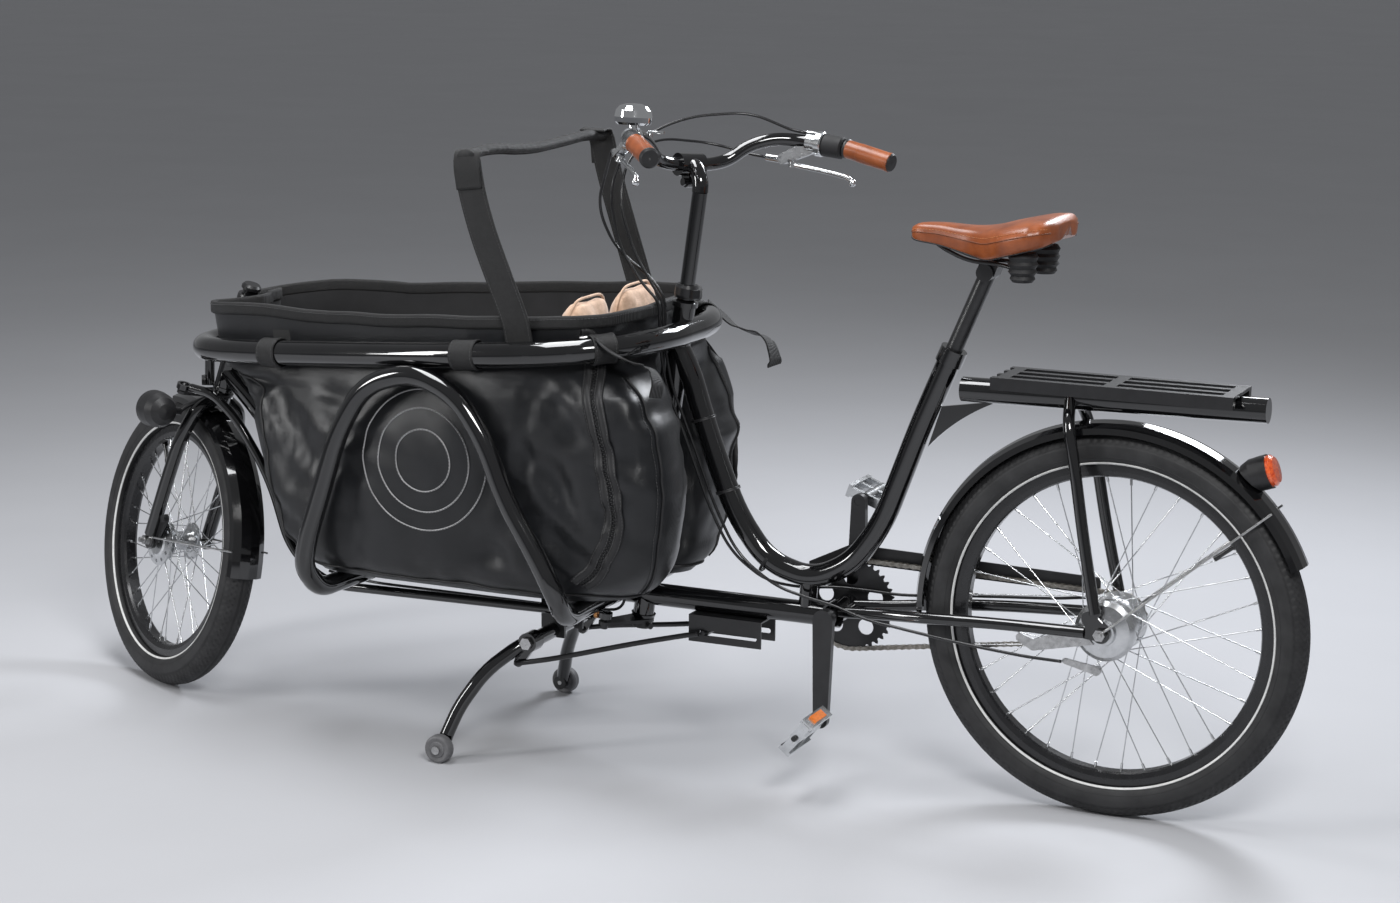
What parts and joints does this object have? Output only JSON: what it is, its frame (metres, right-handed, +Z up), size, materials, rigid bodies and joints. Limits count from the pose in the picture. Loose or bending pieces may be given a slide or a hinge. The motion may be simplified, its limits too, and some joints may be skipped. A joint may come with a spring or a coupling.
{
  "type": "cargo bicycle",
  "caption": "Long front-loader cargo bicycle with a fabric cargo bag between rider and front wheel, linkage steering, leg stand and rear luggage rack.",
  "frame": {"origin": "ground level under the middle of the bicycle's overall box", "axes": "+X forward along the frame, +Y to the rider's left, +Z up"},
  "size_m": [2.324, 0.5858, 1.1143],
  "materials": {
    "bag_cloth": "coated cloth",
    "black_alloy": "satin black",
    "black_plastic": "moulded",
    "board": "dark stained board",
    "cable": "cable housing",
    "chrome": "polished",
    "cushion_cloth": "woven beige",
    "frame_paint": "gloss black enamel",
    "leather": "smooth brown",
    "rubber": "moulded",
    "silver_alloy": "polished",
    "steel": "zinc plated",
    "tyre": "ribbed rubber",
    "webbing": "woven webbing"
  },
  "bodies": {
    "frame": {"main_tube": "frame_paint", "boom_tube": "frame_paint", "head_tubes": "frame_paint", "top_rail": "frame_paint", "side_hoops": "frame_paint", "rear_triangle": "frame_paint", "carrier_spine": "frame_paint", "luggage_rack": "black_alloy", "chain_guard": "black_plastic", "rear_fender": "frame_paint", "rear_axle": "steel", "tail_light": "black_plastic", "stand_bracket": "frame_paint", "cargo_bag": "bag_cloth", "floor_board": "board", "cushions": "cushion_cloth", "webbing_straps": "webbing", "front_brake_cable": "cable", "rear_brake_cable": "cable", "shift_cable": "cable", "chain": "steel"},
    "steering": {"steering_column": "frame_paint", "column_steering_arm": "black_alloy", "stem": "frame_paint", "handlebar": "frame_paint", "grips": "leather", "bell": "chrome", "brake_lever_bodies": "black_alloy"},
    "lever_left": {"brake_lever_left": "silver_alloy"},
    "lever_right": {"brake_lever_right": "silver_alloy"},
    "bell_thumb": {"bell_lever": "black_plastic"},
    "shifter": {"twist_shifter": "rubber"},
    "fork_unit": {"fork": "frame_paint", "fork_fittings": "black_alloy", "front_axle": "steel", "front_fender": "frame_paint"},
    "lamp": {"headlight": "black_plastic"},
    "front_wheel": {"front_tyre": "tyre", "front_hub": "silver_alloy", "front_rim": "black_alloy", "front_spokes": "steel"},
    "rear_wheel": {"rear_tyre": "tyre", "rear_hub": "silver_alloy", "rear_rim": "black_alloy", "rear_spokes": "steel"},
    "freewheel": {"sprocket": "steel"},
    "crankset": {"crank_arms": "black_alloy", "chainring": "black_alloy"},
    "left_pedal": {"pedal_left": "silver_alloy"},
    "right_pedal": {"pedal_right": "silver_alloy"},
    "seat": {"seatpost": "black_alloy", "saddle": "leather", "saddle_springs": "rubber"},
    "stand": {"stand_legs": "frame_paint"},
    "roller_left": {"stand_roller_left": "rubber"},
    "roller_right": {"stand_roller_right": "rubber"},
    "latch_rods": {"stand_rods": "steel"},
    "latch": {"latch_slider": "steel"},
    "linkage": {"tie_rod": "frame_paint"},
    "rear_brake": {"rear_brake_arm": "steel"}
  },
  "joints": [
    {"name": "handlebar_steer", "type": "hinge", "parent": "frame", "child": "steering", "pos_m": [-0.02559, -0.0179, 0.251], "axis": [-0.1352, 0, 0.9908], "range_deg": [-8, 58], "deforming": ["front_brake_cable", "rear_brake_cable", "shift_cable"]},
    {"name": "fork_steer", "type": "hinge", "parent": "frame", "child": "fork_unit", "pos_m": [0.91421, -0.0179, 0.2592], "axis": [-0.319, 0, 0.9478], "range_deg": [-8, 58]},
    {"name": "tie_rod_swing", "type": "hinge", "parent": "steering", "child": "linkage", "pos_m": [0.01227, 0.0565, 0.24557], "axis": [-0.1389, -0.0177, 0.9901], "range_deg": [-58, 8]},
    {"name": "left_brake_pull", "type": "hinge", "parent": "steering", "child": "lever_left", "pos_m": [-0.0559, 0.1448, 1.02469], "axis": [-0.327, -0.269, 0.9059], "range_deg": [0, 12], "stiffness_Nm_per_rad": 1.2, "springref_deg": -5.73},
    {"name": "right_brake_pull", "type": "hinge", "parent": "steering", "child": "lever_right", "pos_m": [-0.23307, -0.14715, 1.00004], "axis": [-0.018, -0.068, 0.9975], "range_deg": [-12, 0], "stiffness_Nm_per_rad": 1.2, "springref_deg": 5.73},
    {"name": "bell_flick", "type": "hinge", "parent": "steering", "child": "bell_thumb", "pos_m": [-0.10249, 0.13096, 1.07079], "axis": [-0.018, -0.068, 0.9975], "range_deg": [0, 30], "stiffness_Nm_per_rad": 0.05, "springref_deg": -5.73},
    {"name": "shifter_twist", "type": "hinge", "parent": "steering", "child": "shifter", "pos_m": [-0.32783, -0.14887, 1.03058], "axis": [0.993, -0.054, 0.105], "range_deg": [-50, 50]},
    {"name": "headlight_tilt", "type": "hinge", "parent": "fork_unit", "child": "lamp", "pos_m": [0.88015, 0.04074, 0.51853], "axis": [0.4782, 0.8634, 0.1609], "range_deg": [-15, 15]},
    {"name": "front_wheel_spin", "type": "hinge", "parent": "fork_unit", "child": "front_wheel", "pos_m": [0.92709, -0.02527, 0.26046], "axis": [0.4782, 0.8634, 0.1609], "continuous": true},
    {"name": "rear_wheel_spin", "type": "hinge", "parent": "frame", "child": "rear_wheel", "pos_m": [-0.84859, -0.0179, 0.3135], "axis": [0, 1, 0], "continuous": true},
    {"name": "crank_spin", "type": "hinge", "parent": "frame", "child": "crankset", "pos_m": [-0.38359, -0.0179, 0.283], "axis": [0, 1, 0], "continuous": true, "deforming": ["chain"]},
    {"name": "sprocket_spin", "type": "hinge", "parent": "frame", "child": "freewheel", "pos_m": [-0.84859, -0.0179, 0.3135], "axis": [0, 1, 0], "continuous": true},
    {"name": "left_pedal_spin", "type": "hinge", "parent": "crankset", "child": "left_pedal", "pos_m": [-0.38181, 0.0561, 0.11301], "axis": [0, 1, 0], "continuous": true},
    {"name": "right_pedal_spin", "type": "hinge", "parent": "crankset", "child": "right_pedal", "pos_m": [-0.38537, -0.0919, 0.45299], "axis": [0, 1, 0], "continuous": true},
    {"name": "saddle_height", "type": "slide", "parent": "frame", "child": "seat", "axis": [-0.3873, 0, 0.9219], "range_m": [-0.035, 0.05]},
    {"name": "stand_fold", "type": "hinge", "parent": "frame", "child": "stand", "pos_m": [0.13141, -0.0179, 0.196], "axis": [0, 1, 0], "range_deg": [0, 119]},
    {"name": "left_roller_spin", "type": "hinge", "parent": "stand", "child": "roller_left", "pos_m": [0.24501, 0.2161, 0.024], "axis": [0, 1, 0], "continuous": true},
    {"name": "right_roller_spin", "type": "hinge", "parent": "stand", "child": "roller_right", "pos_m": [0.24501, -0.2519, 0.024], "axis": [0, 1, 0], "continuous": true},
    {"name": "stand_rod_swing", "type": "hinge", "parent": "stand", "child": "latch_rods", "pos_m": [0.15241, -0.0179, 0.158], "axis": [0, 1, 0], "range_deg": [-127, 0]},
    {"name": "latch_slide", "type": "slide", "parent": "frame", "child": "latch", "axis": [-1, 0, 0], "range_m": [0, 0.063]},
    {"name": "rear_brake_pull", "type": "hinge", "parent": "frame", "child": "rear_brake", "pos_m": [-0.84259, 0.0421, 0.252], "axis": [0, 1, 0], "range_deg": [-15, 0], "stiffness_Nm_per_rad": 1, "springref_deg": 5.73}
  ],
  "couplings": [
    {"joint": "fork_steer", "follows": "handlebar_steer", "ratio": 1},
    {"joint": "tie_rod_swing", "follows": "handlebar_steer", "ratio": -1},
    {"joint": "sprocket_spin", "follows": "crank_spin", "ratio": 2},
    {"joint": "stand_rod_swing", "follows": "stand_fold", "ratio": -1.0605},
    {"joint": "latch_slide", "follows": "stand_fold", "m_per_rad": 0.02985}
  ]
}
